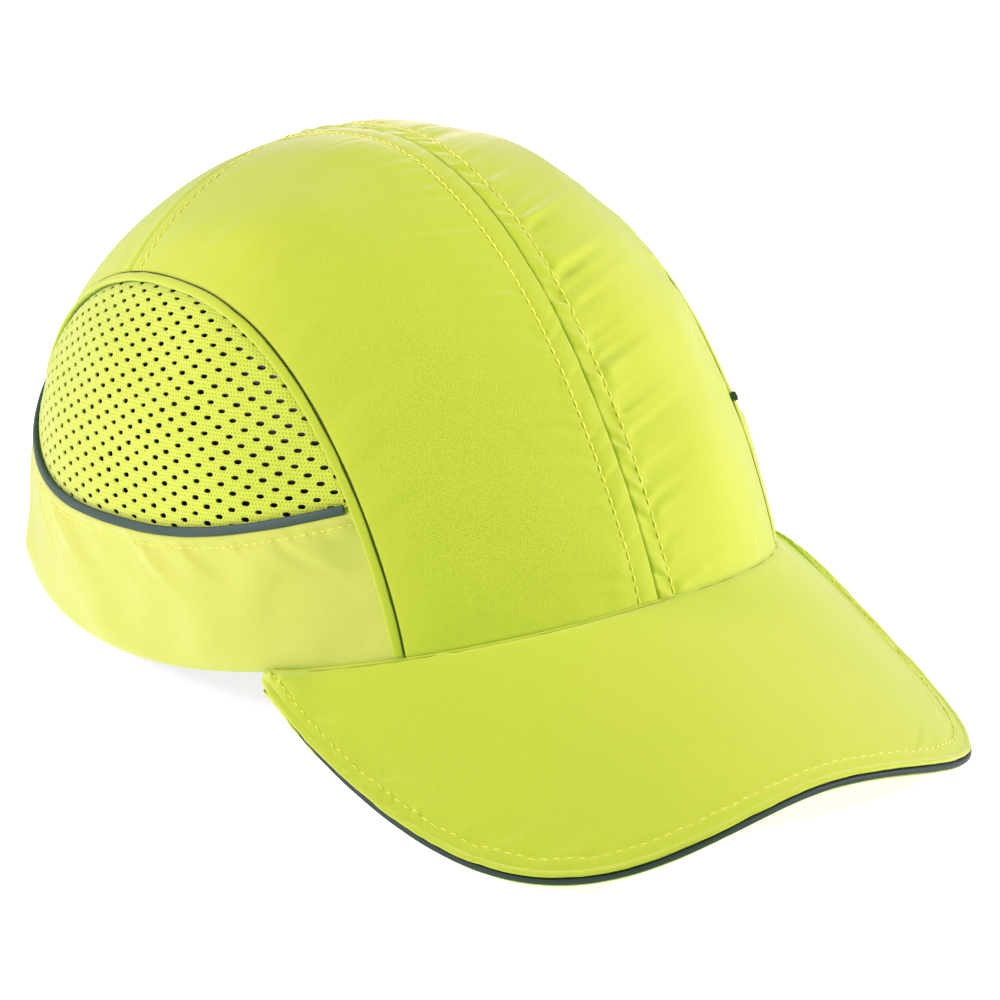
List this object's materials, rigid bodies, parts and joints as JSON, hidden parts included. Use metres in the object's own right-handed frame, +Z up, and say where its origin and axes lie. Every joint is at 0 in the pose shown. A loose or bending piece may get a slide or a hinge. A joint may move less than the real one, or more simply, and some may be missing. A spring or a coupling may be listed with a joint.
{
  "type": "bump cap",
  "caption": "High-visibility baseball-style cap with a curved brim, mesh sides, reflective piping, a strap closure and a removable vented bump shell with foam pads.",
  "frame": {"origin": "middle of the bounding box, on the surface that the cap stands on", "axes": "the cap faces -Y and stands on its brim edges and rear hem; +X is the wearer's left, +Y runs from the brim to the back, +Z is up"},
  "size_m": [0.18, 0.2934, 0.1351],
  "materials": {
    "hivis_cloth": "woven high-visibility polyester, matt",
    "hivis_mesh": "knitted mesh with oval holes",
    "reflective_tape": "grey retroreflective film, satin",
    "strap_cloth": "woven polyester webbing",
    "sweatband_cloth": "brushed terry",
    "label_cloth": "woven satin, blank",
    "hook_and_loop": "hook and loop tape",
    "ring_plastic": "moulded, satin",
    "board_plastic": "moulded polyethylene sheet",
    "shell_plastic": "moulded, fine texture",
    "foam": "closed-cell foam with cloth face"
  },
  "bodies": {
    "cap": {"front_panel_left": "hivis_cloth", "front_panel_right": "hivis_cloth", "rear_centre_panel": "hivis_cloth", "side_band_left": "hivis_cloth", "side_band_right": "hivis_cloth", "brim_top_cover": "hivis_cloth", "brim_under_cover": "hivis_cloth", "seam_roll_left": "hivis_cloth", "seam_roll_right": "hivis_cloth", "rear_arch_binding": "hivis_cloth", "mesh_panel_left": "hivis_mesh", "mesh_panel_right": "hivis_mesh", "side_piping_left": "reflective_tape", "side_piping_right": "reflective_tape", "brim_edge_piping": "reflective_tape", "closure_strap": "strap_cloth", "ring_tab": "strap_cloth", "centre_seam_tape": "strap_cloth", "sweatband": "sweatband_cloth", "size_label": "label_cloth", "loop_patch_left": "hook_and_loop", "loop_patch_right": "hook_and_loop", "closure_ring": "ring_plastic", "brim_board": "board_plastic"},
    "shell": {"bump_shell": "shell_plastic", "pad_front": "foam", "pad_crown": "foam", "pad_rear": "foam", "pad_side_left": "foam", "pad_side_right": "foam", "hook_patch_left": "hook_and_loop", "hook_patch_right": "hook_and_loop"},
    "strap_end": {"strap_tail": "strap_cloth"}
  },
  "joints": [
    {"name": "shell_removal", "type": "slide", "parent": "cap", "child": "shell", "axis": [0, -0.2181, -0.9759], "range_m": [0, 0.17]},
    {"name": "strap_peel", "type": "hinge", "parent": "cap", "child": "strap_end", "pos_m": [-0.01904, 0.14014, 0.00487], "axis": [0, 0.2181, 0.9759], "range_deg": [0, 150]}
  ]
}
